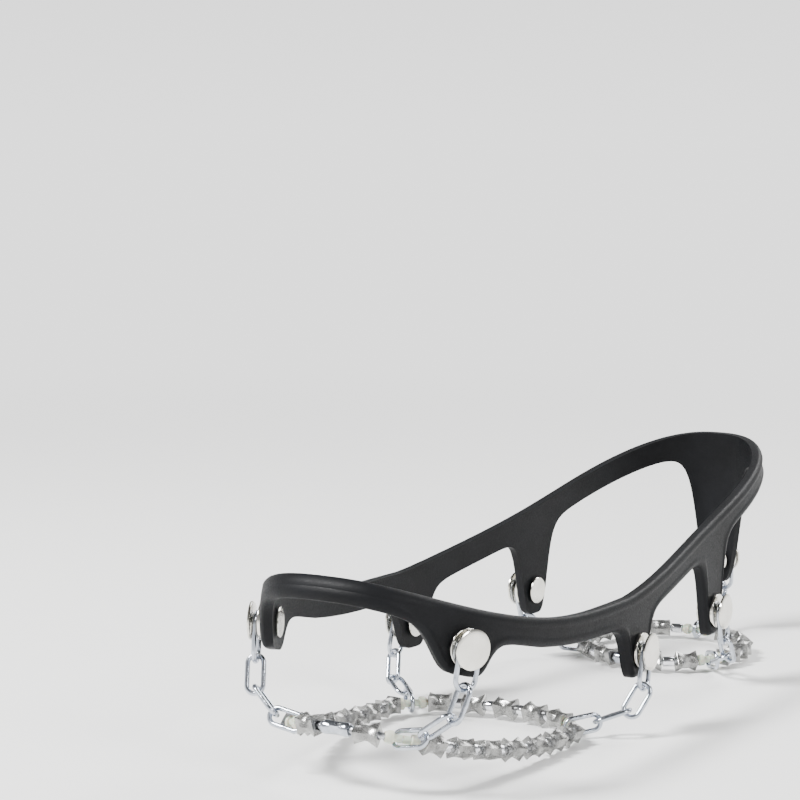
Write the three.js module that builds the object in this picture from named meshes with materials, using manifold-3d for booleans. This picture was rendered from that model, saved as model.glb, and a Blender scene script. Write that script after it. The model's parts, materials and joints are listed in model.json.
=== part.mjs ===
// Bead-and-chain ice cleat for one shoe, in the shape it takes when a boot wears it.
// Millimetres, +Z up, toe towards -Y. The origin is on the plane of the boot's tread.
import * as THREE from "three";
import { mergeVertices } from "three/addons/utils/BufferGeometryUtils.js";
import Module from "manifold-3d";

const wasm = await Module();
wasm.setup();

// ---- driving dimensions ----
const gap = 0.3; // running clearance between pieces

// Boot last: a plan outline carried upwards, leaning in over the toes and ankle.
const last = {
  middleY: -4,
  halfLength: 158,
  halfWidth: 47,
  toeFlare: 7,
  endFlare: 10,
  bluntness: 0.8,
  waistDepth: 4,
  waistPlace: -0.35,
  waistSpread: 0.35,
  wallTop: 38, // below this the sides stand upright
  toeRoof: 59,
  ankleRise: 53,
  toeLean: 58,
  sideLean: 12,
};
const toeSpring = { startY: -60, run: 90, rise: 16 }; // the sole curls up at the toe

const harness = {
  thickness: 4.5,
  sideTop: 43, // height of the band's top edge along the sides
  toeTopRise: 1,
  heelTopRise: 38,
  bandWidth: 10,
  toeBandLess: 4,
  legBelowRivet: 10,
  legFlare: 5, // a higher power makes a squarer leg
};

// Each leg hangs from the band and carries one rivet. Mirrored legs come as pairs.
const legs = [
  { name: "toe", y: -136, rivetZ: 31, halfWidth: 12, pair: true },
  { name: "mid", y: -27, rivetZ: 22, halfWidth: 10, pair: true },
  { name: "heel_front", y: 57, rivetZ: 22, halfWidth: 10, pair: true },
  { name: "heel_back", y: 154, rivetZ: 24, halfWidth: 10, pair: false },
];

const rivet = {
  headRadius: 7,
  washerRadius: 6.8,
  innerWasherRadius: 5.5,
  shankRadius: 1.75,
  washerThickness: 1,
  headEdge: 0.8,
  dome: 0.75,
  innerGap: 0.7,
  segments: 12,
};

const wireRadius = 1;
const wireSides = 6;
const linkBendSteps = 5;
const rivetLink = { innerLength: 15.4, innerWidth: 6.2 };
const chainLink = { innerLength: 12, innerWidth: 4 };
const linkNames = ["rivet_link", "upper_link", "lower_link", "ring_link"];
const linkGap = 0.5; // slack between links that bear on each other
const chainLean = 0.35; // how far the first link leans towards its ring
const ringLinkRise = 0.15;
const twistShare = 0.65; // how much of the ring link's twist the upper link takes
const ringLinkTurn = 0.65; // how far the last link turns from the ring's bend towards its rivet

const cable = { radius: 1.2, sides: 8, height: -4.6 };
const bushing = {
  neckRadius: 1.4,
  neckLength: 3.1,
  flangeRadius: 2.3,
  endRadius: 1.6,
  taper: 1.2,
  length: 6.2,
};
const bead = { length: 8.6, radius: 4.6, middleRadius: 3.5 };
const tube = { length: 5, radius: 2 };
const ferrule = { length: 11.5, radius: 2.5, endRadius: 1.9, taper: 1.5 };
const boreRadius = cable.radius + gap;
const stringEndGap = 0.9; // bare cable between a string of beads and its bushings

// Beads with a tube between each two.
const beadRow = (beads) => Array.from({ length: 2 * beads - 1 }, (_, i) => (i % 2 ? "tube" : "bead"));

// Where the chains meet the rings, going round each ring, and how far each side of a ring bows
// outwards between its bushings.
const forefoot = {
  body: "forefoot",
  corners: [
    { chain: "toe_left", x: -22, y: -147 },
    { chain: "toe_right", x: 22, y: -147 },
    { chain: "mid_right", x: 35, y: -49 },
    { chain: "mid_left", x: -35, y: -49 },
  ],
  bows: [3, 5, 8, 5],
  rows: [
    ["bead", "ferrule", "bead"],
    beadRow(7),
    beadRow(5),
    beadRow(7),
  ],
  rowNames: ["front", "right", "back", "left"],
};
const heelRadius = 34;
const heel = {
  body: "heel",
  corners: [
    { chain: "heel_front_left", angle: -150 },
    { chain: "heel_front_right", angle: -30 },
    { chain: "heel_back", angle: 90 },
  ].map(({ chain, angle }) => ({
    chain,
    x: heelRadius * Math.cos(THREE.MathUtils.degToRad(angle)),
    y: 100 + heelRadius * Math.sin(THREE.MathUtils.degToRad(angle)),
  })),
  bows: [12.2, 12.2, 12.2],
  rows: [
    ["bead", "tube", "bead", "ferrule", "bead", "tube", "bead"],
    [...beadRow(4), "tube"],
    ["tube", ...beadRow(4)],
  ],
  rowNames: ["front", "right", "left"],
};

// ---- finishes ----
const finish = (color, roughness, metalness) =>
  new THREE.MeshStandardMaterial({ color, roughness, metalness });
const rubber = () => finish(0x2d2e32, 0.75, 0);
const nickel = () => finish(0xd9d6cb, 0.15, 1);
const zinc = () => finish(0xc9ced6, 0.25, 1);
const steel = () => finish(0xc4c4c0, 0.45, 1);

// ---- small helpers ----
const clamp01 = (v) => Math.min(1, Math.max(0, v));
const vec = (x, y, z) => new THREE.Vector3(x, y, z);
const up = vec(0, 0, 1);

// The part of v that is square to the unit vector n, made a unit vector.
const squareTo = (v, n) => v.clone().addScaledVector(n, -v.dot(n)).normalize();

// A closed skin over rows of points: each row is a closed loop, and the last row meets the first.
function loopSkin(rows, flipped = () => false) {
  const count = rows[0].length;
  const at = (i, j) => (i % rows.length) * count + (j % count);
  const triangles = [];
  rows.forEach((_, i) => {
    for (let j = 0; j < count; j++) {
      const [a, b, c, d] = [at(i, j), at(i + 1, j), at(i + 1, j + 1), at(i, j + 1)];
      triangles.push(...(flipped(i, j) ? [a, b, d, b, c, d] : [a, b, c, a, c, d]));
    }
  });
  const geometry = new THREE.BufferGeometry();
  geometry.setFromPoints(rows.flat());
  geometry.setIndex(triangles);
  return facingOut(geometry);
}

// Turns every face round if the closed surface encloses a negative volume.
function facingOut(geometry) {
  const p = geometry.getAttribute("position");
  const index = geometry.getIndex().array;
  const [a, b, c] = [vec(), vec(), vec()];
  let volume = 0;
  for (let i = 0; i < index.length; i += 3) {
    a.fromBufferAttribute(p, index[i]);
    b.fromBufferAttribute(p, index[i + 1]);
    c.fromBufferAttribute(p, index[i + 2]);
    volume += a.dot(b.cross(c));
  }
  if (volume < 0)
    for (let i = 0; i < index.length; i += 3) [index[i], index[i + 1]] = [index[i + 1], index[i]];
  return geometry;
}

function solidOf(geometry) {
  const bare = geometry.clone();
  bare.deleteAttribute("normal");
  bare.deleteAttribute("uv");
  const merged = mergeVertices(bare, 1e-4);
  return new wasm.Manifold(
    new wasm.Mesh({
      numProp: 3,
      vertProperties: merged.getAttribute("position").array,
      triVerts: new Uint32Array(merged.getIndex().array),
    }),
  );
}

function geometryOf(solid) {
  const mesh = solid.getMesh();
  const geometry = new THREE.BufferGeometry();
  geometry.setAttribute("position", new THREE.BufferAttribute(mesh.vertProperties, 3));
  geometry.setIndex(new THREE.BufferAttribute(mesh.triVerts, 1));
  return geometry;
}

const cleat = new THREE.Group();
function add(name, geometry, material, matrix) {
  const mesh = new THREE.Mesh(geometry, material);
  mesh.name = name;
  if (matrix) matrix.decompose(mesh.position, mesh.quaternion, mesh.scale);
  cleat.add(mesh);
}

// ---- the boot last ----

// Plan outline at an angle from the toe tip (0) round to the heel (pi); the left side is negative.
function outline(angle) {
  const c = Math.cos(angle);
  const s = Math.sin(angle);
  const waist = last.waistDepth * Math.exp(-(((c - last.waistPlace) / last.waistSpread) ** 2));
  const width = last.halfWidth + last.toeFlare * c + last.endFlare * c * c - waist;
  return vec(width * Math.sign(s) * Math.abs(s) ** last.bluntness, last.middleY - last.halfLength * c, 0);
}

const angleAtY = (y) => Math.acos((last.middleY - y) / last.halfLength);

function outwardAt(angle) {
  const step = 0.004;
  const along = outline(angle + step).sub(outline(angle - step));
  return vec(along.y, -along.x, 0).normalize();
}

const springAt = (y) => toeSpring.rise * Math.max(0, (toeSpring.startY - y) / toeSpring.run) ** 2;

// A point of the last's side: the outline, leaning in by a quarter ellipse above the upright wall.
function lastPoint(angle, height) {
  const c = Math.cos(angle);
  const roof = last.toeRoof + last.ankleRise * ((1 - c) / 2) ** 1.5;
  const lean = last.sideLean + last.toeLean * ((1 + c) / 2) ** 6;
  const t = Math.min(0.98, clamp01((height - last.wallTop) / (roof - last.wallTop)));
  const base = outline(angle);
  const z = height + springAt(base.y);
  return base.addScaledVector(outwardAt(angle), -lean * (1 - Math.sqrt(1 - t * t))).setZ(z);
}

function lastNormal(angle, height) {
  const turn = 0.01;
  const rise = 0.5;
  const along = lastPoint(angle + turn, height).sub(lastPoint(angle - turn, height));
  const upwards = lastPoint(angle, height + rise).sub(lastPoint(angle, height - rise));
  return along.cross(upwards).normalize();
}

// ---- harness: one moulded rubber band with a leg at each rivet ----

const outlineSteps = 1440;
const outlineLengths = [0];
for (let i = 1; i <= outlineSteps; i++) {
  const [a, b] = [i - 1, i].map((k) => outline((k * Math.PI) / outlineSteps));
  outlineLengths.push(outlineLengths[i - 1] + a.distanceTo(b));
}
const halfGirth = outlineLengths[outlineSteps];

// Distance along the outline from the toe tip, and the angle at such a distance.
const distanceAt = (angle) => {
  const k = (Math.abs(angle) / Math.PI) * outlineSteps;
  const i = Math.min(outlineSteps - 1, Math.floor(k));
  return THREE.MathUtils.lerp(outlineLengths[i], outlineLengths[i + 1], k - i);
};
function angleAtDistance(distance) {
  const i = Math.min(
    outlineSteps,
    Math.max(1, outlineLengths.findIndex((l) => l >= distance)),
  );
  const [a, b] = [outlineLengths[i - 1], outlineLengths[i]];
  return ((i - 1 + (distance - a) / (b - a)) * Math.PI) / outlineSteps;
}

for (const leg of legs) {
  leg.angle = leg.pair ? angleAtY(leg.y) : Math.PI;
  leg.distance = distanceAt(leg.angle);
}

// Top edge: low along the sides, a little higher over the toes and climbing to the back of the ankle.
function bandTop(angle) {
  const c = Math.cos(angle);
  const toe = clamp01((c - 0.2) / 0.8) ** 2;
  const ankle = clamp01((0.2 - c) / 1.2) ** 1.3;
  return harness.sideTop + harness.toeTopRise * toe + harness.heelTopRise * ankle;
}

// Bottom edge: the band's own edge, dropping to each leg's end in a rounded step.
function bandBottom(angle, distance) {
  const toe = clamp01((Math.cos(angle) - 0.6) / 0.4);
  const edge = bandTop(angle) - harness.bandWidth + harness.toeBandLess * toe;
  return legs.reduce((z, leg) => {
    const offset = Math.abs(distance - leg.distance) / leg.halfWidth;
    return z - (edge - leg.rivetZ + harness.legBelowRivet) / (1 + offset ** harness.legFlare);
  }, edge);
}

// Columns stand close together at the legs' sides and further apart along the plain band.
function harnessColumns() {
  const nearLeg = [0, 0.45, 0.7, 0.85, 0.95, 1.05, 1.15, 1.3, 1.55, 1.9];
  const distances = legs.flatMap((leg) =>
    nearLeg.flatMap((k) => [leg.distance - k * leg.halfWidth, leg.distance + k * leg.halfWidth]),
  );
  const spacing = 11;
  for (let d = spacing / 2; d < halfGirth; d += spacing)
    if (legs.every((leg) => Math.abs(d - leg.distance) > 2 * leg.halfWidth)) distances.push(d);
  const half = [...new Set(distances.filter((d) => d > 1 && d < halfGirth - 1))].sort((a, b) => a - b);
  return [0, ...half, halfGirth, ...half.toReversed().map((d) => -d)];
}

function harnessSolid() {
  const outerRows = [0, 0.3, 0.65, 1];
  const innerRows = [1, 0.5, 0];
  const rows = harnessColumns().map((signed) => {
    const distance = Math.abs(signed);
    const angle = angleAtDistance(distance) * (signed < 0 ? -1 : 1);
    const low = bandBottom(angle, distance);
    const high = bandTop(angle);
    const point = (share, depth) => {
      const height = low + share * (high - low);
      return lastPoint(angle, height).addScaledVector(lastNormal(angle, height), depth);
    };
    return [
      ...outerRows.map((v) => point(v, harness.thickness)),
      ...innerRows.map((v) => point(v, 0)),
    ];
  });
  return solidOf(loopSkin(rows));
}

// ---- rivets ----

const chains = legs.flatMap((leg) => {
  const sides = leg.pair ? [["left", -1], ["right", 1]] : [["", 1]];
  return sides.map(([side, sign]) => {
    const angle = leg.angle * sign;
    const outward = outwardAt(angle);
    const face = lastPoint(angle, leg.rivetZ).addScaledVector(outward, harness.thickness);
    return { name: side ? leg.name + "_" + side : leg.name, outward, face };
  });
});

// Distances out from the rubber's face to the link's wire and the underside of the rivet's head.
const linkPlane = gap + rivet.washerThickness + gap + wireRadius;
const headUnder = linkPlane + wireRadius + gap;

function rivetGeometry() {
  const innerFace = -harness.thickness - rivet.innerGap;
  const profile = [
    [0, innerFace - rivet.washerThickness],
    [rivet.innerWasherRadius, innerFace - rivet.washerThickness],
    [rivet.innerWasherRadius, innerFace],
    [rivet.shankRadius, innerFace],
    [rivet.shankRadius, gap],
    [rivet.washerRadius, gap],
    [rivet.washerRadius, gap + rivet.washerThickness],
    [rivet.shankRadius, gap + rivet.washerThickness],
    [rivet.shankRadius, headUnder],
    [rivet.headRadius, headUnder],
    [rivet.headRadius, headUnder + rivet.headEdge],
    [rivet.headRadius * 0.7, headUnder + rivet.headEdge + rivet.dome * 0.6],
    [0, headUnder + rivet.headEdge + rivet.dome],
  ].map(([r, h]) => new THREE.Vector2(r, h));
  const geometry = new THREE.LatheGeometry(profile, rivet.segments);
  geometry.rotateX(Math.PI / 2);
  geometry.deleteAttribute("normal");
  geometry.deleteAttribute("uv");
  return facingOut(mergeVertices(geometry, 1e-4));
}

// A frame at a point, with local Z along `out` and local X along `across`.
const frameAt = (point, across, out) =>
  new THREE.Matrix4().makeBasis(across, out.clone().cross(across), out).setPosition(point);

let band = harnessSolid();
for (const chain of chains) {
  const across = up.clone().cross(chain.outward);
  const matrix = frameAt(chain.face, across, chain.outward);
  const drill = new THREE.CylinderGeometry(
    rivet.shankRadius + gap,
    rivet.shankRadius + gap,
    4 * harness.thickness,
    rivet.segments,
  );
  drill.rotateX(Math.PI / 2).applyMatrix4(matrix);
  band = band.subtract(solidOf(drill));
  add("rivet_" + chain.name, rivetGeometry(), nickel(), matrix);
}
add("harness", geometryOf(band), rubber());

// ---- rings: cable, bushings, beads, tubes and ferrules ----

// A point of a ring's cable above a plan position, following the toe spring.
const onCable = (x, y) => vec(x, y, cable.height + springAt(y));

// One side of a ring: a circular arc between the bushings of two corners.
function sidePath(from, to, bow) {
  const chord = to.clone().sub(from).setZ(0);
  const middle = from.clone().lerp(to, 0.5);
  const half = chord.length() / 2;
  const along = chord.normalize();
  const outward = along.clone().cross(up);
  const radius = (half * half + bow * bow) / (2 * bow);
  const sweep = Math.asin(half / radius);
  const stops = 24;
  const points = Array.from({ length: stops + 1 }, (_, i) => {
    const a = THREE.MathUtils.lerp(-sweep, sweep, i / stops);
    const p = middle
      .clone()
      .addScaledVector(along, radius * Math.sin(a))
      .addScaledVector(outward, bow - radius + radius * Math.cos(a));
    return onCable(p.x, p.y);
  });
  return new THREE.CatmullRomCurve3(points);
}

// Places a row of pieces along one side, sharing the spare length between them. In a joined row the
// tubes take it up.
function placeRow(row, length, joined) {
  const lengths = { bead: bead.length, tube: tube.length, ferrule: ferrule.length };
  const used = row.reduce((sum, kind) => sum + lengths[kind], 0);
  const space = joined ? stringEndGap : (length - used) / (row.length + 1);
  if (joined) lengths.tube += (length - used - 2 * space) / row.filter((kind) => kind === "tube").length;
  if (space < gap || lengths.tube < tube.radius)
    throw new Error("a row is longer than its side of the ring");
  let place = space;
  return row.map((kind) => {
    const start = place;
    const end = start + lengths[kind];
    place = end + (joined ? 0 : space);
    return { kind, start, end };
  });
}

// A ring of points round a place on the cable. corner(k) is the radius of point k.
function section(point, tangent, corner) {
  const across = up.clone().cross(tangent).normalize();
  const over = tangent.clone().cross(across);
  return Array.from({ length: cable.sides }, (_, k) => {
    const a = (2 * Math.PI * k) / cable.sides;
    return point
      .clone()
      .addScaledVector(across, corner(k) * Math.cos(a))
      .addScaledVector(over, corner(k) * Math.sin(a));
  });
}

const round = (radius) => () => radius;
// A square of eight points, corners and side middles in turn; quarter turns it by 45 degrees.
const square = (radius, quarter) => (k) => ((k + quarter) % 2 ? radius * Math.SQRT1_2 : radius);

// The distances at which a row's pieces start and end, and the cable's direction at such a place.
const stopsOf = (pieces) => [...new Set(pieces.flatMap(({ start, end }) => [start, end]))];
function wayAt(stops, stop, pointAt) {
  const i = stops.indexOf(stop);
  const [before, after] = [stops[Math.max(0, i - 1)], stops[Math.min(stops.length - 1, i + 1)]];
  return pointAt(after).sub(pointAt(before)).normalize();
}

// A bead or a string of beads and tubes, bored for the cable. A bead is a square that twists by
// 45 degrees to its middle and back, so its skin is triangles.
function stringGeometry(pieces, pointAt) {
  const outer = [];
  const inner = [];
  const lay = (list, point, tangent, corner) => list.push(section(point, tangent, corner));
  pieces.forEach(({ kind, start, end }) => {
    const [a, b] = [pointAt(start), pointAt(end)];
    const tangent = b.clone().sub(a).normalize();
    if (kind === "bead") {
      lay(outer, a, tangent, square(bead.radius, 0));
      lay(outer, a.clone().lerp(b, 0.5), tangent, square(bead.middleRadius, 1));
      lay(outer, b, tangent, square(bead.radius, 0));
    }
    if (kind === "tube") {
      lay(outer, a, tangent, round(tube.radius));
      lay(outer, b, tangent, round(tube.radius));
    }
  });
  const stops = stopsOf(pieces);
  stops.forEach((stop) => lay(inner, pointAt(stop), wayAt(stops, stop, pointAt), round(boreRadius)));
  const rows = [...outer, ...inner.toReversed()];
  // Each four-sided patch of the outer skin is split along its shorter diagonal.
  const next = (j) => (j + 1) % cable.sides;
  const shorterSecond = (i, j) =>
    rows[i][j].distanceTo(rows[i + 1][next(j)]) < rows[i][next(j)].distanceTo(rows[i + 1][j]);
  return loopSkin(rows, (i, j) => i >= outer.length - 1 || shorterSecond(i, j));
}

function ferruleGeometry({ start, end }, pointAt) {
  const [a, b] = [pointAt(start), pointAt(end)];
  const tangent = b.clone().sub(a).normalize();
  const ring = (share, radius) => section(a.clone().lerp(b, share), tangent, round(radius));
  const taper = ferrule.taper / ferrule.length;
  return loopSkin([
    ring(0, ferrule.endRadius),
    ring(taper, ferrule.radius),
    ring(1 - taper, ferrule.radius),
    ring(1, ferrule.endRadius),
    ring(1, boreRadius),
    ring(0, boreRadius),
  ]);
}

// At each corner the pair of bushings stands straight on the bisector of the two sides.
function bendsOf(corners) {
  return corners.map((corner, i) => {
    const before = corners[(i + corners.length - 1) % corners.length];
    const after = corners[(i + 1) % corners.length];
    const arriving = vec(corner.x - before.x, corner.y - before.y, 0).normalize();
    const leaving = vec(after.x - corner.x, after.y - corner.y, 0).normalize();
    const way = arriving.add(leaving).normalize().multiplyScalar(bushing.length);
    const start = onCable(corner.x - way.x, corner.y - way.y);
    const end = onCable(corner.x + way.x, corner.y + way.y);
    const tangent = end.clone().sub(start).normalize();
    return { chain: corner.chain, start, end, point: start.clone().lerp(end, 0.5), tangent };
  });
}

// Builds a ring. Its core is the cable loop with the bushings on it, and with its tubes where the
// beads turn singly.
function buildRing({ body, corners, bows, rows, rowNames }, beadsTurn) {
  const bends = bendsOf(corners);
  const core = [];
  bends.forEach((bend, i) => {
    const alongSpool = (distance, radius) =>
      core.push(
        section(bend.point.clone().addScaledVector(bend.tangent, distance), bend.tangent, round(radius)),
      );
    const { length, neckLength, neckRadius, flangeRadius, endRadius, taper } = bushing;
    alongSpool(-length, cable.radius);
    alongSpool(-length, endRadius);
    alongSpool(taper - length, flangeRadius);
    alongSpool(-neckLength, flangeRadius);
    alongSpool(-neckLength, neckRadius);
    alongSpool(neckLength, neckRadius);
    alongSpool(neckLength, flangeRadius);
    alongSpool(length - taper, flangeRadius);
    alongSpool(length, endRadius);
    alongSpool(length, cable.radius);

    const path = sidePath(bend.end, bends[(i + 1) % bends.length].start, bows[i]);
    const pathLength = path.getLength();
    const pointAt = (s) => path.getPointAt(s / pathLength);
    const joined = !beadsTurn && rows[i].includes("tube");
    const pieces = placeRow(rows[i], pathLength, joined);
    const stops = stopsOf(pieces);
    for (const { kind, start, end } of pieces) {
      const chord = pointAt(end).sub(pointAt(start)).normalize();
      const lay = (stop, tangent, radius) => core.push(section(pointAt(stop), tangent, round(radius)));
      const startsFresh = !joined || start === stops[0];
      if (startsFresh) lay(start, wayAt(stops, start, pointAt), cable.radius);
      if (kind === "tube" && !joined) {
        lay(start, chord, tube.radius);
        lay(end, chord, tube.radius);
      }
      lay(end, wayAt(stops, end, pointAt), cable.radius);
    }

    const label = body + "_" + rowNames[i];
    const single = pieces.filter(({ kind }) => kind === "ferrule");
    single.forEach((piece) => add(body + "_ferrule", ferruleGeometry(piece, pointAt), steel()));
    const beads = pieces.filter(({ kind }) => kind === "bead");
    if (joined) add(label + "_bead_string", stringGeometry(pieces, pointAt), steel());
    else
      beads.forEach((piece, k) =>
        add(label + "_bead_" + (k + 1), stringGeometry([piece], pointAt), steel()),
      );
  });
  add(body + "_cable_and_bushings", loopSkin(core), steel());
  return bends;
}

const bends = [...buildRing(forefoot, false), ...buildRing(heel, true)];

// ---- chains ----

// The corner of a triangle on two given points with two given sides, on the side of `bulge`.
function elbow(from, to, fromLength, toLength, bulge) {
  const span = from.distanceTo(to);
  if (span > fromLength + toLength) throw new Error("a chain is too short for its span");
  const along = to.clone().sub(from).normalize();
  const foot = (fromLength ** 2 - toLength ** 2 + span ** 2) / (2 * span);
  const height = Math.sqrt(fromLength ** 2 - foot ** 2);
  return from.clone().addScaledVector(along, foot).addScaledVector(squareTo(bulge, along), height);
}

// A link is a round wire bent into a stadium: two straight runs and two half circles.
function linkGeometry({ innerLength, innerWidth }) {
  const turnRadius = innerWidth / 2 + wireRadius;
  const straight = innerLength / 2 + wireRadius - turnRadius;
  const rows = [];
  for (const end of [1, -1])
    for (let i = 0; i <= linkBendSteps; i++) {
      const a = (Math.PI * i) / linkBendSteps - Math.PI / 2 + (end < 0 ? Math.PI : 0);
      const outward = vec(Math.cos(a), Math.sin(a), 0);
      const centre = vec(end * straight, 0, 0).addScaledVector(outward, turnRadius);
      rows.push(
        Array.from({ length: wireSides }, (_, k) => {
          const b = (2 * Math.PI * k) / wireSides;
          return centre
            .clone()
            .addScaledVector(outward, wireRadius * Math.cos(b))
            .addScaledVector(up, wireRadius * Math.sin(b));
        }),
      );
    }
  return loopSkin(rows);
}

// A link turns on its neighbour about the centre of its own end bend. The upper and ring links lie
// in the plane in which the chain bends, so those centres are the chain's joints.
const endBend = chainLink.innerWidth / 2 + wireRadius;
const betweenBends = chainLink.innerLength + 2 * wireRadius - 2 * endBend;
const insideBend = chainLink.innerWidth / 2 - wireRadius - linkGap;
const shankToFirst = rivetLink.innerLength - rivet.shankRadius - gap + wireRadius + insideBend;
const lowerLength = betweenBends + 2 * (endBend + insideBend);

for (const chain of chains) {
  const bend = bends.find((b) => b.chain === chain.name);
  const shank = chain.face.clone().addScaledVector(chain.outward, linkPlane);
  const aim = bend.point.clone().sub(shank);
  const sideways = aim.clone().addScaledVector(chain.outward, -aim.dot(chain.outward)).setZ(0);
  const first = sideways.multiplyScalar(chainLean).add(vec(0, 0, aim.z)).normalize();
  const firstEnd = shank.clone().addScaledVector(first, shankToFirst);

  // The last link leaves the ring between the bend's outward side and the way to its rivet.
  const outOfRing = bend.tangent.clone().setZ(0).cross(up).normalize();
  const toRivet = aim.clone().negate().setZ(0).normalize();
  const away = outOfRing.lerp(toRivet, ringLinkTurn).setZ(ringLinkRise).normalize();
  const lean = Math.hypot(1, away.dot(bend.tangent) / away.clone().cross(bend.tangent).length());
  const pastCable = (bushing.neckRadius + wireRadius + gap) * lean - wireRadius;
  const cableToLast = betweenBends + chainLink.innerWidth / 2 - pastCable;
  const lastStart = bend.point.clone().addScaledVector(away, cableToLast);
  const bulge = chain.outward.clone().sub(up);
  const middle = elbow(firstEnd, lastStart, betweenBends, lowerLength, bulge);
  const joints = [shank, firstEnd, middle, lastStart, bend.point];

  const runs = [0, 1, 2, 3].map((i) => joints[i + 1].clone().sub(joints[i]).normalize());
  const ringNormal = squareTo(bend.tangent, runs[3]);
  const hanging = runs[1].clone().cross(squareTo(chain.outward, runs[1]));
  const side = hanging.dot(ringNormal) < 0 ? -1 : 1;
  const upperNormal = squareTo(hanging.addScaledVector(ringNormal, side * twistShare), runs[1]);
  const lowerWidth = squareTo(upperNormal.clone().addScaledVector(ringNormal, side), runs[2]);
  const normals = [chain.outward, upperNormal, runs[2].clone().cross(lowerWidth), ringNormal];
  const fromStart = [
    rivetLink.innerLength / 2 - rivet.shankRadius - gap,
    betweenBends / 2,
    lowerLength / 2,
    betweenBends / 2,
  ];
  linkNames.forEach((name, i) => {
    const centre = joints[i].clone().addScaledVector(runs[i], fromStart[i]);
    const shape = i === 0 ? rivetLink : chainLink;
    add(chain.name + "_" + name, linkGeometry(shape), zinc(), frameAt(centre, runs[i], normals[i]));
  });
}

export default cleat;
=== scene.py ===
import json
import math

import bmesh
import bpy
import numpy as np
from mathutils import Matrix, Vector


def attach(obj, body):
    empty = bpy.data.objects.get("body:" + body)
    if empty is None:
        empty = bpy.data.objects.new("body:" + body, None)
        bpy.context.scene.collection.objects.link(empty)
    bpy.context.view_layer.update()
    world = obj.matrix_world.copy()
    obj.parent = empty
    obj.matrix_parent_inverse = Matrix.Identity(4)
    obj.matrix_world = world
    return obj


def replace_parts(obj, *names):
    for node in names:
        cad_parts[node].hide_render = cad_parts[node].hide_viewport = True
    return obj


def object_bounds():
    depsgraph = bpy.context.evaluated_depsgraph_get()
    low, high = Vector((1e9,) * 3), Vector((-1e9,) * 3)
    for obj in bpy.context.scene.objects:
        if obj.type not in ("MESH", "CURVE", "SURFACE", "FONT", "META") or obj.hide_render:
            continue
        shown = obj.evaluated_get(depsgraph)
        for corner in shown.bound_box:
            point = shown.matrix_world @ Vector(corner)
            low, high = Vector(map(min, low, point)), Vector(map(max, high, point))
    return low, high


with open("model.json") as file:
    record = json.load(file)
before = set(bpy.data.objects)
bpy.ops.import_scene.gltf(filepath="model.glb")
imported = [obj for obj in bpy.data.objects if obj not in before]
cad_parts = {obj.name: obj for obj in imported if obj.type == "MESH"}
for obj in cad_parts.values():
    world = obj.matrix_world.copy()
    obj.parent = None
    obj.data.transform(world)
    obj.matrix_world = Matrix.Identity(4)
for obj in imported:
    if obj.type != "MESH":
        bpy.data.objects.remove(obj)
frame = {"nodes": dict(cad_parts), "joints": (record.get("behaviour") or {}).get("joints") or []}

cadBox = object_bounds()
mm = 0.001
up = np.array([0.0, 0.0, 1.0])
rng = np.random.default_rng(7)
print("frame loaded:", len(frame["nodes"]), "nodes")


# Small vector helpers. Everything below is in millimetres until it goes into a mesh.

def unit(v):
    # each vector divided by its length
    return v / np.linalg.norm(v, axis=-1, keepdims=True)


def ease(v):
    # v held between 0 and 1
    return np.clip(v, 0.0, 1.0)


def gridMesh(name, grid, material, body, joins=(True, True), sharpAt=None):
    # grid[i, j] is a point; neighbours make four-sided faces, and a joined direction closes on itself
    rows, columns = grid.shape[:2]
    lastRow, lastColumn = rows - (not joins[0]), columns - (not joins[1])
    i, j = np.meshgrid(np.arange(lastRow), np.arange(lastColumn), indexing="ij")
    nextI, nextJ = (i + 1) % rows, (j + 1) % columns
    corners = [i * columns + j, nextI * columns + j, nextI * columns + nextJ, i * columns + nextJ]
    faces = np.stack(corners, -1).reshape(-1, 4).astype(np.int32)
    mesh = bpy.data.meshes.new(name)
    mesh.vertices.add(rows * columns)
    mesh.vertices.foreach_set("co", (grid * mm).astype(np.float32).ravel())
    mesh.loops.add(faces.size)
    mesh.loops.foreach_set("vertex_index", faces.ravel())
    mesh.polygons.add(len(faces))
    mesh.polygons.foreach_set("loop_start", np.arange(0, faces.size, 4, dtype=np.int32))
    mesh.update(calc_edges=True)

    shape = bmesh.new()
    shape.from_mesh(mesh)
    bmesh.ops.remove_doubles(shape, verts=shape.verts, dist=1e-7)
    bmesh.ops.recalc_face_normals(shape, faces=shape.faces)
    shape.to_mesh(mesh)
    shape.free()
    mesh.polygons.foreach_set("use_smooth", np.ones(len(mesh.polygons), dtype=bool))
    if sharpAt:
        mesh.set_sharp_from_angle(angle=math.radians(sharpAt))

    piece = bpy.data.objects.new(name, mesh)
    bpy.context.scene.collection.objects.link(piece)
    mesh.materials.append(material)
    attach(piece, body)
    return piece


def frameAlong(tangent):
    # across and over: two unit vectors square to each tangent, across lying level
    across = unit(np.cross(up, tangent))
    return across, np.cross(tangent, across)


def revolve(profile, centre, axis, sides=64):
    # profile rows are (radius, distance along the axis), turned once round the axis
    axis = np.asarray(axis, float)
    helper = up if abs(axis[2]) < 0.9 else np.array([1.0, 0.0, 0.0])
    a = unit(np.cross(helper, axis))
    b = np.cross(axis, a)
    turn = np.linspace(0, 2 * np.pi, sides, endpoint=False)
    ring = np.cos(turn)[:, None] * a + np.sin(turn)[:, None] * b
    radius, along = np.asarray(profile, float).T
    return centre + radius[:, None, None] * ring[None] + along[:, None, None] * axis


# Materials

noiseSpan = (0.3, 0.7)  # a noise rarely leaves this span


def nodeMaterial(name):
    # a new material with its node tree and its one shader
    material = bpy.data.materials.new(name)
    material.use_nodes = True
    tree = material.node_tree
    return material, tree, tree.nodes["Principled BSDF"]


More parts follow.
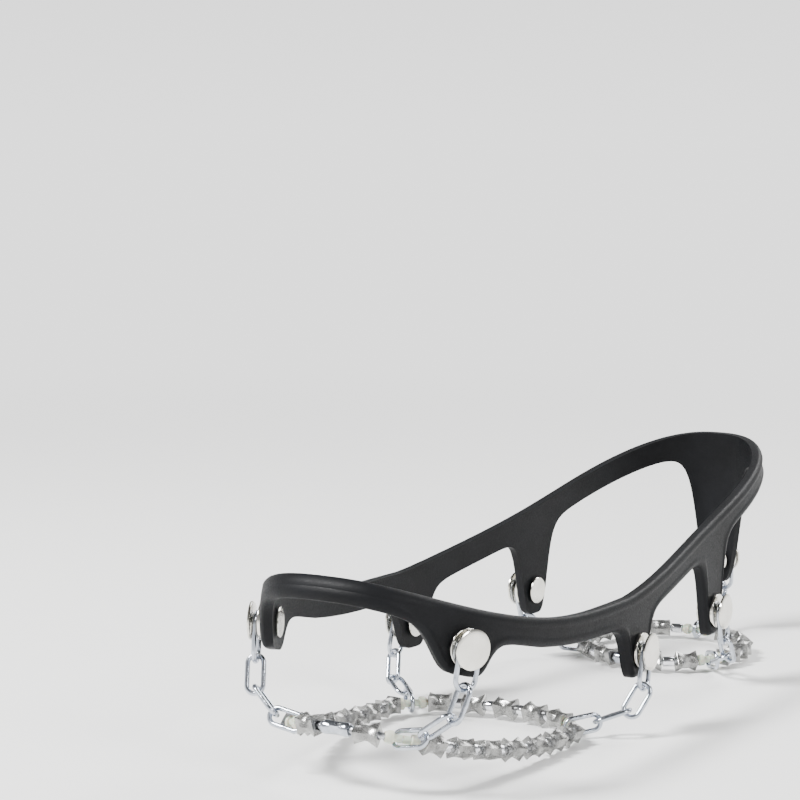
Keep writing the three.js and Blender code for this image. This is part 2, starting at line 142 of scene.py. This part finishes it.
def noiseOn(tree, scale, detail):
    # noise in the piece's own coordinates
    place = tree.nodes.new("ShaderNodeTexCoord")
    noise = tree.nodes.new("ShaderNodeTexNoise")
    noise.inputs["Scale"].default_value = scale
    noise.inputs["Detail"].default_value = detail
    tree.links.new(place.outputs["Object"], noise.inputs["Vector"])
    return noise


def rampBetween(tree, noise, low, high):
    # the low colour below the noise's usual span, the high one above it, blended between
    ramp = tree.nodes.new("ShaderNodeValToRGB")
    for element, place, colour in zip(ramp.color_ramp.elements, noiseSpan, (low, high)):
        element.position = place
        element.color = (*colour, 1.0)
    tree.links.new(noise.outputs["Fac"], ramp.inputs["Fac"])
    return ramp


def bumpFrom(tree, noises, strengths, depth):
    # bumps are chained, the coarse one first
    before = None
    for noise, strength in zip(noises, strengths):
        bump = tree.nodes.new("ShaderNodeBump")
        bump.inputs["Strength"].default_value = strength
        bump.inputs["Distance"].default_value = depth
        tree.links.new(noise.outputs["Fac"], bump.inputs["Height"])
        if before:
            tree.links.new(before.outputs["Normal"], bump.inputs["Normal"])
        before = bump
    return before


def finishMaterial(look):
    # two noises, one broad and one fine, vary the colour, the roughness and the surface
    material, tree, shader = nodeMaterial(look["name"])
    broad = noiseOn(tree, look["broadScale"], 3)
    fine = noiseOn(tree, look["fineScale"], 6)
    colour = rampBetween(tree, broad, look["dark"], look["light"])
    tree.links.new(colour.outputs["Color"], shader.inputs["Base Color"])
    spread = tree.nodes.new("ShaderNodeMapRange")
    spread.inputs["From Min"].default_value, spread.inputs["From Max"].default_value = noiseSpan
    spread.inputs["To Min"].default_value, spread.inputs["To Max"].default_value = look["roughness"]
    tree.links.new(fine.outputs["Fac"], spread.inputs["Value"])
    tree.links.new(spread.outputs["Result"], shader.inputs["Roughness"])
    bump = bumpFrom(tree, [broad, fine], look["bumps"], look["depth"])
    tree.links.new(bump.outputs["Normal"], shader.inputs["Normal"])
    shader.inputs["Metallic"].default_value = look["metallic"]
    for socket, value in look.get("sockets", {}).items():
        shader.inputs[socket].default_value = value
    return material


looks = {
    "rubber": dict(
        name="mouldedRubber", dark=(0.0028, 0.003, 0.0036), light=(0.0052, 0.0056, 0.0068),
        broadScale=48, fineScale=1700, roughness=(0.44, 0.62), bumps=(0.10, 0.20), depth=0.0003,
        metallic=0.0, sockets={"Specular IOR Level": 0.12},
    ),
    "nickel": dict(
        name="polishedNickel", dark=(0.70, 0.68, 0.62), light=(0.84, 0.82, 0.76),
        broadScale=160, fineScale=2600, roughness=(0.10, 0.20), bumps=(0.04, 0.02), depth=0.0001,
        metallic=1.0,
    ),
    "zinc": dict(
        name="brightZinc", dark=(0.38, 0.41, 0.46), light=(0.55, 0.58, 0.64),
        broadScale=420, fineScale=3000, roughness=(0.14, 0.28), bumps=(0.10, 0.05), depth=0.0001,
        metallic=1.0,
    ),
    "steel": dict(
        name="tumbledSteel", dark=(0.22, 0.22, 0.215), light=(0.38, 0.38, 0.37),
        broadScale=260, fineScale=3000, roughness=(0.20, 0.36), bumps=(0.10, 0.45), depth=0.00010,
        metallic=0.92,
    ),
    "chrome": dict(
        name="polishedTube", dark=(0.78, 0.79, 0.83), light=(0.90, 0.91, 0.94),
        broadScale=300, fineScale=2600, roughness=(0.05, 0.12), bumps=(0.03, 0.02), depth=0.00008,
        metallic=1.0,
    ),
    "nylon": dict(
        name="naturalNylon", dark=(0.46, 0.48, 0.38), light=(0.62, 0.64, 0.53),
        broadScale=260, fineScale=2200, roughness=(0.30, 0.46), bumps=(0.10, 0.08), depth=0.00012,
        metallic=0.0, sockets={"Subsurface Weight": 0.25, "Subsurface Scale": 0.0015},
    ),
    "wire": dict(
        name="strandedWire", dark=(0.34, 0.35, 0.37), light=(0.62, 0.63, 0.66),
        broadScale=600, fineScale=3200, roughness=(0.22, 0.38), bumps=(0.10, 0.08), depth=0.0001,
        metallic=1.0,
    ),
}
material = {key: finishMaterial(look) for key, look in looks.items()}
print("materials made:", len(material))


# Boot last and harness

last = dict(
    middleY=-4, halfLength=158, halfWidth=47, toeFlare=7, endFlare=10, bluntness=0.8,
    waistDepth=4, waistPlace=-0.35, waistSpread=0.35, wallTop=38, toeRoof=59, ankleRise=53,
    toeLean=58, sideLean=12, springStart=-60, springRun=90, springRise=16,
)
harness = dict(
    thickness=4.5, sideTop=43, toeTopRise=1, heelTopRise=38, bandWidth=10, toeBandLess=4,
    belowRivet=10, edgeRadius=1.5, legFlare=5.0, lipHeight=0.35, lipPlace=2.2, lipWidth=0.8,
    columns=1500, middleRows=26, innerRows=12,
)
legs = [
    dict(y=-136, rivetZ=31, halfWidth=12),
    dict(y=-27, rivetZ=22, halfWidth=10),
    dict(y=57, rivetZ=22, halfWidth=10),
    dict(y=154, rivetZ=24, halfWidth=10),
]


def outline(angle):
    # a blunt oval: width follows the sine to a power below one, flared at the toe and pinched at the waist
    c, s = np.cos(angle), np.sin(angle)
    waist = last["waistDepth"] * np.exp(-(((c - last["waistPlace"]) / last["waistSpread"]) ** 2))
    width = last["halfWidth"] + last["toeFlare"] * c + last["endFlare"] * c * c - waist
    x = width * np.sign(s) * np.abs(s) ** last["bluntness"]
    return np.stack([x, last["middleY"] - last["halfLength"] * c, np.zeros_like(x)], -1)


def outwardAt(angle):
    # the outline's direction, turned a quarter turn outwards
    along = outline(angle + 0.004) - outline(angle - 0.004)
    return unit(np.stack([along[..., 1], -along[..., 0], np.zeros_like(along[..., 0])], -1))


def springAt(y):
    # a parabola that lifts the toe end
    return last["springRise"] * np.maximum(0, (last["springStart"] - y) / last["springRun"]) ** 2


def lastPoint(angle, height):
    # the outline carried upwards, leaning in by a quarter ellipse above the upright wall
    c = np.cos(angle)
    roof = last["toeRoof"] + last["ankleRise"] * ((1 - c) / 2) ** 1.5
    lean = last["sideLean"] + last["toeLean"] * ((1 + c) / 2) ** 6
    t = np.minimum(0.98, ease((height - last["wallTop"]) / (roof - last["wallTop"])))
    base = outline(angle)
    point = base - outwardAt(angle) * (lean * (1 - np.sqrt(1 - t * t)))[..., None]
    point[..., 2] = height + springAt(base[..., 1])
    return point


def lastNormal(angle, height):
    # the cross product of the surface's two directions
    along = lastPoint(angle + 0.01, height) - lastPoint(angle - 0.01, height)
    upwards = lastPoint(angle, height + 0.5) - lastPoint(angle, height - 0.5)
    return unit(np.cross(along, upwards))


steps = np.linspace(0, np.pi, 1441)
stepLengths = np.linalg.norm(np.diff(outline(steps), axis=0), axis=1)
girth = np.concatenate([[0], np.cumsum(stepLengths)])
for leg in legs:
    legAngle = math.acos(max(-1, (last["middleY"] - leg["y"]) / last["halfLength"]))
    leg["distance"] = np.interp(legAngle, steps, girth)
legs[3]["distance"] = girth[-1]


def bandTop(angle):
    # level along the sides, a little higher over the toes and climbing to the back of the ankle
    c = np.cos(angle)
    toe, ankle = ease((c - 0.2) / 0.8) ** 2, ease((0.2 - c) / 1.2) ** 1.3
    return harness["sideTop"] + harness["toeTopRise"] * toe + harness["heelTopRise"] * ankle


def bandBottom(angle, distance):
    # the band's own edge, less a flared step at each leg
    toe = ease((np.cos(angle) - 0.6) / 0.4)
    edge = bandTop(angle) - harness["bandWidth"] + harness["toeBandLess"] * toe
    low = edge.copy()
    for leg in legs:
        offset = np.abs(distance - leg["distance"]) / leg["halfWidth"]
        low -= (edge - leg["rivetZ"] + harness["belowRivet"]) / (1 + offset ** harness["legFlare"])
    return low


def makeHarness():
    # columns round the last and rows up it; the depth falls away near an edge as a quarter circle does
    signed = np.linspace(-girth[-1], girth[-1], harness["columns"], endpoint=False)
    distance = np.abs(signed)
    angle = np.interp(distance, girth, steps) * np.where(signed < 0, -1, 1)
    low, high = bandBottom(angle, distance), bandTop(angle)
    step = distance[1] - distance[0]
    slopeLow, slopeHigh = np.gradient(low, step), np.gradient(high, step)

    near = np.array([0, 0.05, 0.2, 0.45, 0.8, 1.2, 1.7, 2.3, 3.0])
    middle = np.linspace(0, 1, harness["middleRows"] + 2)[1:-1]
    inner = np.linspace(0, 1, harness["innerRows"])
    span = (high - low)[:, None]
    between = low[:, None] + near[-1] + (span - 2 * near[-1]) * middle
    height = np.concatenate([low[:, None] + near, between, high[:, None] - near[::-1]], 1)
    innerHeight = high[:, None] - span * inner
    fromLow = (height - low[:, None]) / np.sqrt(1 + slopeLow[:, None] ** 2)
    fromHigh = (high[:, None] - height) / np.sqrt(1 + slopeHigh[:, None] ** 2)
    toEdge = np.minimum(fromLow, fromHigh)

    r = harness["edgeRadius"]
    fall = r - np.sqrt(np.maximum(0, r * r - np.maximum(0, r - toEdge) ** 2))
    lip = harness["lipHeight"] * np.exp(-(((toEdge - harness["lipPlace"]) / harness["lipWidth"]) ** 2))
    depth = harness["thickness"] - fall + lip - harness["lipHeight"]
    allHeights = np.concatenate([height, innerHeight], 1)
    allDepths = np.concatenate([depth, np.zeros_like(innerHeight)], 1)
    angles = np.repeat(angle[:, None], allHeights.shape[1], 1)
    grid = lastPoint(angles, allHeights) + lastNormal(angles, allHeights) * allDepths[..., None]
    piece = gridMesh("rubberHarness", grid, material["rubber"], "harness", sharpAt=50)
    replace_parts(piece, "harness")


makeHarness()
print("harness made")


# Rivets

rivet = dict(
    headRadius=7.0, headEdge=0.8, headRound=0.4, dome=0.5, flatness=9, washerRadius=6.8,
    washerThickness=1.0, shankRadius=1.75, innerRadius=5.5, innerGap=0.7, clearance=0.3, edge=0.25,
    sharpAt=40,
)
link = dict(
    wire=1.0, slimness=0.90, length=12.0, width=4.0, rivetLength=15.4, rivetWidth=6.2,
    weldSwell=0.05, endCut=0.15, weldReach=0.8, steps=112, sides=20,
)
chainNames = [
    "toe_left", "toe_right", "mid_left", "mid_right", "heel_front_left", "heel_front_right", "heel_back",
]
jointOf = {joint["name"]: joint for joint in frame["joints"]}


def discProfile(radius, low, high, hole, edge):
    # a flat ring with rounded outer edges, closed round its hole
    turn = np.linspace(0, np.pi / 2, 6)
    rim = [(radius - edge + edge * math.sin(a), low + edge - edge * math.cos(a)) for a in turn]
    top = [(radius - edge + edge * math.cos(a), high - edge + edge * math.sin(a)) for a in turn]
    return [(hole, low), *rim, *top, (hole, high), (hole, low)]


def makeRivet(name):
    # head, outer washer and clenched back, each turned about the shank; heights are from the rubber
    joint = jointOf[name + "_rivet_link_swing"]
    axis = unit(np.array(joint["axis"], float))
    clear, thick = rivet["clearance"], rivet["washerThickness"]
    face = np.array(joint["pos_m"], float) / mm - axis * (2 * clear + thick + link["wire"])
    under = 3 * clear + thick + 2 * link["wire"]
    edgeTop, radius, soft = under + rivet["headEdge"], rivet["headRadius"], rivet["headRound"]

    reach = np.linspace(0, np.pi / 2, 7)
    rim = [(radius - soft + soft * math.sin(a), under + soft - soft * math.cos(a)) for a in reach]
    bend = np.sqrt(np.linspace(1, 0, 20))
    crown = [(radius * k, edgeTop + rivet["dome"] * (1 - k ** rivet["flatness"])) for k in bend]
    head = [(0, under), *rim, *crown]
    washer = discProfile(rivet["washerRadius"], 0.0, clear + thick, rivet["shankRadius"], rivet["edge"])
    back, inner, edge = -harness["thickness"] - rivet["innerGap"], rivet["innerRadius"], rivet["edge"]
    shank = [
        (0, under - 0.01), (rivet["shankRadius"], under - 0.01), (rivet["shankRadius"], back),
        (inner - edge, back), (inner, back - edge), (inner, back - thick + edge),
        (inner - edge, back - thick), (0, back - thick),
    ]
    pieces = [
        gridMesh(label + name, revolve(profile, face, axis), material["nickel"], "harness",
                 joins=(False, True), sharpAt=rivet["sharpAt"])
        for label, profile in (("rivetHead_", head), ("rivetWasher_", washer), ("rivetBack_", shank))
    ]
    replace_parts(pieces[0], "rivet_" + name)


for name in chainNames:
    makeRivet(name)
print("rivets made")


# Chain links

def nodeAxes(node):
    # centre, long axis and normal of a link, from the spread of its corners
    mesh = frame["nodes"][node].data
    points = np.empty(len(mesh.vertices) * 3, dtype=np.float32)
    mesh.vertices.foreach_get("co", points)
    points = np.unique(np.round(points.reshape(-1, 3).astype(float) / mm, 3), axis=0)
    centre = (points.max(0) + points.min(0)) / 2
    directions = np.linalg.svd(points - points.mean(0), full_matrices=False)[2]
    long, normal = directions[0], directions[2]
    middle = points.mean(0)
    return middle if np.linalg.norm(middle - centre) < 1 else centre, long, normal


def makeLink(node, innerLength, innerWidth):
    # a round wire along a stadium: two straight runs and two half circles, swollen a little at the weld
    centre, long, normal = nodeAxes(node)
    side = np.cross(normal, long)
    bendRadius = innerWidth / 2 + link["wire"]
    straight = innerLength / 2 + link["wire"] - bendRadius - link["endCut"]
    total = 4 * straight + 2 * np.pi * bendRadius
    s = np.linspace(0, total, link["steps"], endpoint=False)
    bendLength = np.pi * bendRadius
    first = np.clip(s, 0, 2 * straight)
    firstBend = np.clip(s - 2 * straight, 0, bendLength) / bendRadius
    second = np.clip(s - 2 * straight - bendLength, 0, 2 * straight)
    secondBend = np.clip(s - 4 * straight - bendLength, 0, bendLength) / bendRadius
    angle = firstBend + secondBend
    x = -straight + first - second + bendRadius * np.sin(angle)
    y = -bendRadius * np.cos(angle)
    out = np.sin(angle)[:, None] * long + (-np.cos(angle))[:, None] * side
    path = centre + x[:, None] * long + y[:, None] * side
    weld = np.exp(-(((s - straight) / link["weldReach"]) ** 2))
    radius = link["wire"] * (link["slimness"] + link["weldSwell"] * weld)
    turn = np.linspace(0, 2 * np.pi, link["sides"], endpoint=False)
    ring = out[:, None] * np.cos(turn)[:, None] + normal * np.sin(turn)[:, None]
    grid = path[:, None] + radius[:, None, None] * ring
    piece = gridMesh("link_" + node, grid, material["zinc"], node)
    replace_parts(piece, node)


for name in chainNames:
    makeLink(name + "_rivet_link", link["rivetLength"], link["rivetWidth"])
    for place in ("upper", "lower", "ring"):
        makeLink(f"{name}_{place}_link", link["length"], link["width"])
print("links made")


# Rings

cable = dict(radius=1.2, height=-4.6, lobes=6, lobeDepth=0.16, lay=9.0, steps=1500, sides=36)
bushing = dict(
    neckRadius=1.4, neckLength=3.1, flangeRadius=2.3, endRadius=1.6, taper=1.2, length=6.2, apart=0.15,
    soft=0.3, clear=0.05,
)
bead = dict(
    length=8.6, radius=4.6, middleRadius=3.5, edge=0.22, boreRadius=1.5, boreDepth=0.9, waist=0.3,
    sides=64, sharpness=26, sharpAt=28,
)
tube = dict(length=5.0, radius=2.0, wall=0.35, edge=0.2, endGap=0.12)
ferrule = dict(
    length=11.5, radius=2.5, endRadius=1.9, shoulder=1.4, soft=0.15, lip=0.25, crimpDepth=0.07,
    steps=60, sides=48,
)
stringEndGap = 0.9


def beadRow(beads):
    # beads with a tube between each two
    return ["tube" if i % 2 else "bead" for i in range(2 * beads - 1)]


rings = [
    dict(
        name="forefoot", corners=[(-22, -147), (22, -147), (35, -49), (-35, -49)], bows=[3, 5, 8, 5],
        rows=[["bead", "ferrule", "bead"], beadRow(7), beadRow(5), beadRow(7)],
        rowNames=["front", "right", "back", "left"], single=["front"],
    ),
    dict(
        name="heel",
        corners=[
            (34 * math.cos(math.radians(a)), 100 + 34 * math.sin(math.radians(a))) for a in (-150, -30, 90)
        ],
        bows=[12.2, 12.2, 12.2],
        rows=[
            ["bead", "tube", "bead", "ferrule", "bead", "tube", "bead"],
            [*beadRow(4), "tube"],
            ["tube", *beadRow(4)],
        ],
        rowNames=["front", "right", "left"], single=["front", "right", "left"],
    ),
]


def onCable(xy):
    # a plan position lifted to the cable's height
    xy = np.asarray(xy, float)
    return np.concatenate([xy, (cable["height"] + springAt(xy[..., 1]))[..., None]], -1)


def sideArc(start, end, bow, count=200):
    # a circular arc in plan between two bushings, bowing outwards
    chord = (end - start)[:2]
    half = np.linalg.norm(chord) / 2
    along = chord / (2 * half)
    outward = np.array([along[1], -along[0]])
    radius = (half * half + bow * bow) / (2 * bow)
    a = np.linspace(-1, 1, count) * math.asin(half / radius)
    middle = (start + end)[:2] / 2
    rise = bow - radius + radius * np.cos(a)
    return onCable(middle + np.outer(radius * np.sin(a), along) + np.outer(rise, outward))


def distancesAlong(path):
    # each point's distance from the start, added up from step to step
    return np.concatenate([[0], np.cumsum(np.linalg.norm(np.diff(path, axis=0), axis=1))])


def pointAt(path, distance):
    # the points at the given distances along a path
    return np.stack([np.interp(distance, distancesAlong(path), path[:, k]) for k in range(3)], -1)


def placeRow(row, length, joined):
    # pieces along one side: spare length goes between them, or into the tubes where they are strung tight
    lengths = {"bead": bead["length"], "tube": tube["length"], "ferrule": ferrule["length"]}
    used = sum(lengths[kind] for kind in row)
    space = stringEndGap if joined else (length - used) / (len(row) + 1)
    if joined:
        lengths["tube"] += (length - used - 2 * space) / row.count("tube")
    place, pieces = space, []
    for kind in row:
        pieces.append((kind, place, place + lengths[kind]))
        place += lengths[kind] + (0 if joined else space)
    return pieces


def squareRadius(turn, radius, quarter):
    # distance to the edge of a square with corners at the given radius, its corners a little blunt
    p = bead["sharpness"]
    a = turn + (np.pi / 4 if quarter else 0) + np.pi / 4
    reach = (np.abs(np.cos(a)) ** p + np.abs(np.sin(a)) ** p) ** (1 / p)
    return radius / math.sqrt(2) / reach


def sweep(start, end, rows, spin=0.0, sides=48):
    # rows are (distance from the start, radius for each angle), square to the line from start to end
    tangent = unit(end - start)
    across, over = frameAlong(tangent)
    turn = np.linspace(0, 2 * np.pi, sides, endpoint=False)
    ring = np.cos(turn + spin)[:, None] * across + np.sin(turn + spin)[:, None] * over
    place = np.array([row[0] for row in rows])
    radius = np.stack([np.broadcast_to(row[1], turn.shape) for row in rows])
    return start + place[:, None, None] * tangent + radius[..., None] * ring[None]


def makeBead(name, start, end, body, spin, node):
    # a square at each end that becomes a smaller square, turned by 45 degrees, at the middle
    turn = np.linspace(0, 2 * np.pi, bead["sides"], endpoint=False)
    length, edge, bore = bead["length"], bead["edge"], bead["boreRadius"]
    endSquare = squareRadius(turn, bead["radius"], False)
    middleSquare = squareRadius(turn, bead["middleRadius"], True)
    mouth = [(bead["boreDepth"], bore), (0.15, bore + 0.1), (0, bore + 0.35), (0, endSquare - edge)]
    half = length / 2
    firstHalf = np.linspace(edge, half - bead["waist"], 9)
    secondHalf = np.linspace(half + bead["waist"], length - edge, 9)
    rows = list(mouth)
    for place in np.concatenate([firstHalf, secondHalf]):
        share = 1 - abs(2 * place / length - 1)
        rows.append((place, endSquare * (1 - share) + middleSquare * share))
    rows += [(length - place, radius) for place, radius in reversed(mouth)]
    grid = sweep(start, end, rows, spin, bead["sides"])
    piece = gridMesh(name, grid, material["steel"], body, sharpAt=bead["sharpAt"])
    if node:
        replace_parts(piece, node)
    return piece


def makeTube(name, start, end, body):
    # a short polished tube with rounded rims
    length = np.linalg.norm(end - start) - 2 * tube["endGap"]
    start = start + unit(end - start) * tube["endGap"]
    radius, hole, edge = tube["radius"], tube["radius"] - tube["wall"], tube["edge"]
    corner = edge * 0.3  # the rim's middle point, cut in by this much both ways
    rim = [(0, hole), (0, radius - edge), (corner, radius - corner), (edge, radius)]
    rows = rim + [(length - place, size) for place, size in reversed(rim)]
    return gridMesh(name, sweep(start, end, rows), material["chrome"], body, sharpAt=50)


def makeFerrule(name, start, end, body, node):
    # a sleeve pressed six-sided at the middle, its ends drawn in and rounded
    f = ferrule
    turn = np.linspace(0, 2 * np.pi, f["sides"], endpoint=False)
    hexagon = np.cos(np.pi / 6) / np.cos((turn + np.pi / 6) % (np.pi / 3) - np.pi / 6)
    length = f["length"]
    mouth = [(0, cable["radius"] + f["soft"]), (0, f["endRadius"] - f["lip"])]
    rows = list(mouth)
    for place in np.linspace(f["soft"], length - f["soft"], f["steps"]):
        shoulder = ease(min(place, length - place) / f["shoulder"]) ** 0.5
        radius = f["endRadius"] + (f["radius"] - f["endRadius"]) * shoulder
        band = math.sin(np.pi * place / length) ** 4
        rows.append((place, radius * (1 - f["crimpDepth"] * band) * (1 - band + band * hexagon)))
    rows += [(length, radius) for _, radius in reversed(mouth)]
    grid = sweep(start, end, rows, sides=f["sides"])
    piece = gridMesh(name, grid, material["zinc"], body, sharpAt=35)
    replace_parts(piece, node)


def makeBushing(name, centre, tangent, body):
    # a neck that carries the link and a flange with a drawn-in end
    b = bushing
    hole, neck, soft = cable["radius"] + b["clear"], b["neckLength"], b["soft"]
    flange = [
        (neck + soft - soft * math.cos(a), b["flangeRadius"] - soft + soft * math.sin(a))
        for a in np.linspace(0, np.pi / 2, 5)
    ]
    rows = [(b["apart"], hole), (b["apart"], b["neckRadius"]), (neck, b["neckRadius"]), *flange]
    rows += [(b["length"] - b["taper"], b["flangeRadius"]), (b["length"] - 0.4, b["endRadius"] + 0.35)]
    rows += [(b["length"], b["endRadius"]), (b["length"], hole)]
    grid = sweep(centre, centre + tangent, rows)
    gridMesh(name, grid, material["nylon"], body, sharpAt=40)


def makeCable(name, loop, body):
    # a closed rope: its radius rises and falls as the strands wind round it
    total = distancesAlong(loop)[-1]
    s = np.linspace(0, total, cable["steps"], endpoint=False)
    path = pointAt(loop, s)
    for _ in range(12):  # each pass evens out the corners a little
        path = (np.roll(path, 1, 0) + 2 * path + np.roll(path, -1, 0)) / 4
    tangent = unit(np.roll(path, -1, 0) - np.roll(path, 1, 0))
    across, over = frameAlong(tangent)
    turns = round(total / cable["lay"])
    turn = np.linspace(0, 2 * np.pi, cable["sides"], endpoint=False)
    wind = turn[None] - 2 * np.pi * turns * s[:, None] / total
    lobe = np.abs(np.sin(cable["lobes"] * wind / 2)) ** 0.7
    radius = cable["radius"] * (1 - cable["lobeDepth"] + cable["lobeDepth"] * lobe)
    ring = np.cos(turn)[:, None] * across[:, None] + np.sin(turn)[:, None] * over[:, None]
    grid = path[:, None] + radius[..., None] * ring
    return gridMesh(name, grid, material["wire"], body)


def makeRing(ring):
    # bushings at the corners, arcs with their rows of pieces between them, and the cable through all of it
    name, corners = ring["name"], np.array(ring["corners"], float)
    body, coreNode = name + "_ring", name + "_cable_and_bushings"
    count = len(corners)
    bends, loop = [], []
    for i, corner in enumerate(corners):
        arriving, leaving = unit(corner - corners[i - 1]), unit(corners[(i + 1) % count] - corner)
        way = unit(arriving + leaving) * bushing["length"]
        start, end = onCable(corner - way), onCable(corner + way)
        bends.append((start, end))
    for i, (start, end) in enumerate(bends):
        centre, tangent = (start + end) / 2, unit(end - start)
        for label, way in (("before", -tangent), ("after", tangent)):
            makeBushing(f"bushing_{name}_{i + 1}_{label}", centre, way, body)
        arc = sideArc(end, bends[(i + 1) % count][0], ring["bows"][i])
        loop += [np.linspace(start, end, 20)[:-1], arc[:-1]]
        rowName = ring["rowNames"][i]
        joined = rowName not in ring["single"]
        beads = tubes = 0
        strung = []
        for kind, a, b in placeRow(ring["rows"][i], distancesAlong(arc)[-1], joined):
            first, second = pointAt(arc, a), pointAt(arc, b)
            if kind == "bead":
                beads += 1
                node = None if joined else f"{name}_{rowName}_bead_{beads}"
                spin = rng.uniform(0, np.pi / 2)
                label = f"bead_{name}_{rowName}_{beads}"
                strung.append(makeBead(label, first, second, node or body, spin, node))
            if kind == "tube":
                tubes += 1
                label = f"tube_{name}_{rowName}_{tubes}"
                strung.append(makeTube(label, first, second, body))
            if kind == "ferrule":
                makeFerrule(f"crimp_{name}", first, second, body, name + "_ferrule")
        if joined:
            for piece in strung:
                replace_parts(piece, f"{name}_{rowName}_bead_string")
    loop.append(bends[0][0][None])
    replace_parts(makeCable("cable_" + name, np.concatenate(loop), body), coreNode)


for ring in rings:
    makeRing(ring)
print("rings made")


# Floor, light and camera

studio = dict(
    floorSize=24.0, floorColour=(0.88, 0.88, 0.87), worldStrength=2.0,
    sky=[(0.0, 1.0), (0.12, 0.8), (0.30, 0.22), (0.80, 0.05)], fadeFrom=0.35, fadeTo=1.4,
    target=(0.0, -0.060, 0.020), yaw=30.2, pitch=12.5, distance=0.90, lens=108.0, frameWidth=36.0,
    across=0.0963, rise=0.32,
)
lights = [
    dict(name="keyLight", place=(-0.8, -1.0, 1.4), size=0.5, power=95),
    dict(name="sideLight", place=(1.5, -0.4, 1.0), size=0.6, power=22),
    dict(name="backLight", place=(0.3, 1.6, 1.4), size=1.2, power=50),
]


def aimAt(obj, place, target):
    # a camera or lamp looks along its own -Z
    obj.location = place
    way = np.array(target, float) - np.array(place, float)
    flat = math.hypot(way[0], way[1])
    obj.rotation_euler = (math.pi / 2 + math.atan2(way[2], flat), 0, math.atan2(-way[0], way[1]))


def makeFloor():
    # one flat sheet just under the lowest bead
    z = cadBox[0][2] - 0.0002
    half = studio["floorSize"] / 2
    corners = [(-half, -half, z), (half, -half, z), (half, half, z), (-half, half, z)]
    mesh = bpy.data.meshes.new("floor")
    mesh.from_pydata(corners, [], [(0, 1, 2, 3)])
    floor = bpy.data.objects.new("floor", mesh)
    bpy.context.scene.collection.objects.link(floor)
    surface, tree, shader = nodeMaterial("paleFloor")
    shader.inputs["Base Color"].default_value = (*studio["floorColour"], 1)
    shader.inputs["Roughness"].default_value = 0.6
    # far from the object the floor glows as the sky does, so no edge shows between them
    place = tree.nodes.new("ShaderNodeTexCoord")
    away = tree.nodes.new("ShaderNodeVectorMath")
    away.operation = "LENGTH"
    fade = tree.nodes.new("ShaderNodeMapRange")
    fade.interpolation_type = "SMOOTHSTEP"
    fade.inputs["From Min"].default_value = studio["fadeFrom"]
    fade.inputs["From Max"].default_value = studio["fadeTo"]
    glow = tree.nodes.new("ShaderNodeEmission")
    glow.inputs["Strength"].default_value = studio["worldStrength"]
    blend = tree.nodes.new("ShaderNodeMixShader")
    tree.links.new(place.outputs["Object"], away.inputs[0])
    tree.links.new(away.outputs["Value"], fade.inputs["Value"])
    tree.links.new(fade.outputs["Result"], blend.inputs["Fac"])
    tree.links.new(shader.outputs["BSDF"], blend.inputs[1])
    tree.links.new(glow.outputs["Emission"], blend.inputs[2])
    tree.links.new(blend.outputs["Shader"], tree.nodes["Material Output"].inputs["Surface"])
    mesh.materials.append(surface)


def makeSky():
    # its grey depends on the height above the horizon: bright low down and dark overhead
    world = bpy.data.worlds.new("studioSky")
    world.use_nodes = True
    tree = world.node_tree
    background = tree.nodes["Background"]
    background.inputs["Strength"].default_value = studio["worldStrength"]
    place = tree.nodes.new("ShaderNodeTexCoord")
    parts = tree.nodes.new("ShaderNodeSeparateXYZ")
    ramp = tree.nodes.new("ShaderNodeValToRGB")
    for element, (height, grey) in zip(ramp.color_ramp.elements, studio["sky"]):
        element.position, element.color = height, (grey, grey, grey, 1)
    for height, grey in studio["sky"][2:]:
        ramp.color_ramp.elements.new(height).color = (grey, grey, grey, 1)
    tree.links.new(place.outputs["Generated"], parts.inputs["Vector"])
    tree.links.new(parts.outputs["Z"], ramp.inputs["Fac"])
    tree.links.new(ramp.outputs["Color"], background.inputs["Color"])
    bpy.context.scene.world = world


def makeLights():
    # square lamps aimed at the middle of the object
    for light in lights:
        data = bpy.data.lights.new(light["name"], "AREA")
        data.size, data.energy = light["size"], light["power"]
        lamp = bpy.data.objects.new(light["name"], data)
        bpy.context.scene.collection.objects.link(lamp)
        aimAt(lamp, light["place"], (0, 0, 0.03))


def makeCamera():
    # it stands on the line of sight and is turned so that the target falls low and right in the frame
    yaw, pitch = math.radians(studio["yaw"]), math.radians(studio["pitch"])
    sight = np.array([-math.sin(yaw) * math.cos(pitch), math.cos(yaw) * math.cos(pitch), -math.sin(pitch)])
    place = np.array(studio["target"]) - sight * studio["distance"]
    data = bpy.data.cameras.new("camera")
    data.lens, data.sensor_width = studio["lens"], studio["frameWidth"]
    camera = bpy.data.objects.new("camera", data)
    bpy.context.scene.collection.objects.link(camera)
    halfFrame = data.sensor_width / 2 / data.lens
    lookYaw = yaw + math.atan(studio["across"] * 2 * halfFrame)
    lookPitch = pitch - math.atan(studio["rise"] * 2 * halfFrame)
    camera.location = place
    camera.rotation_euler = (math.pi / 2 - lookPitch, 0, lookYaw)
    bpy.context.scene.camera = camera


makeFloor()
makeSky()
makeLights()
makeCamera()
print("stage made")
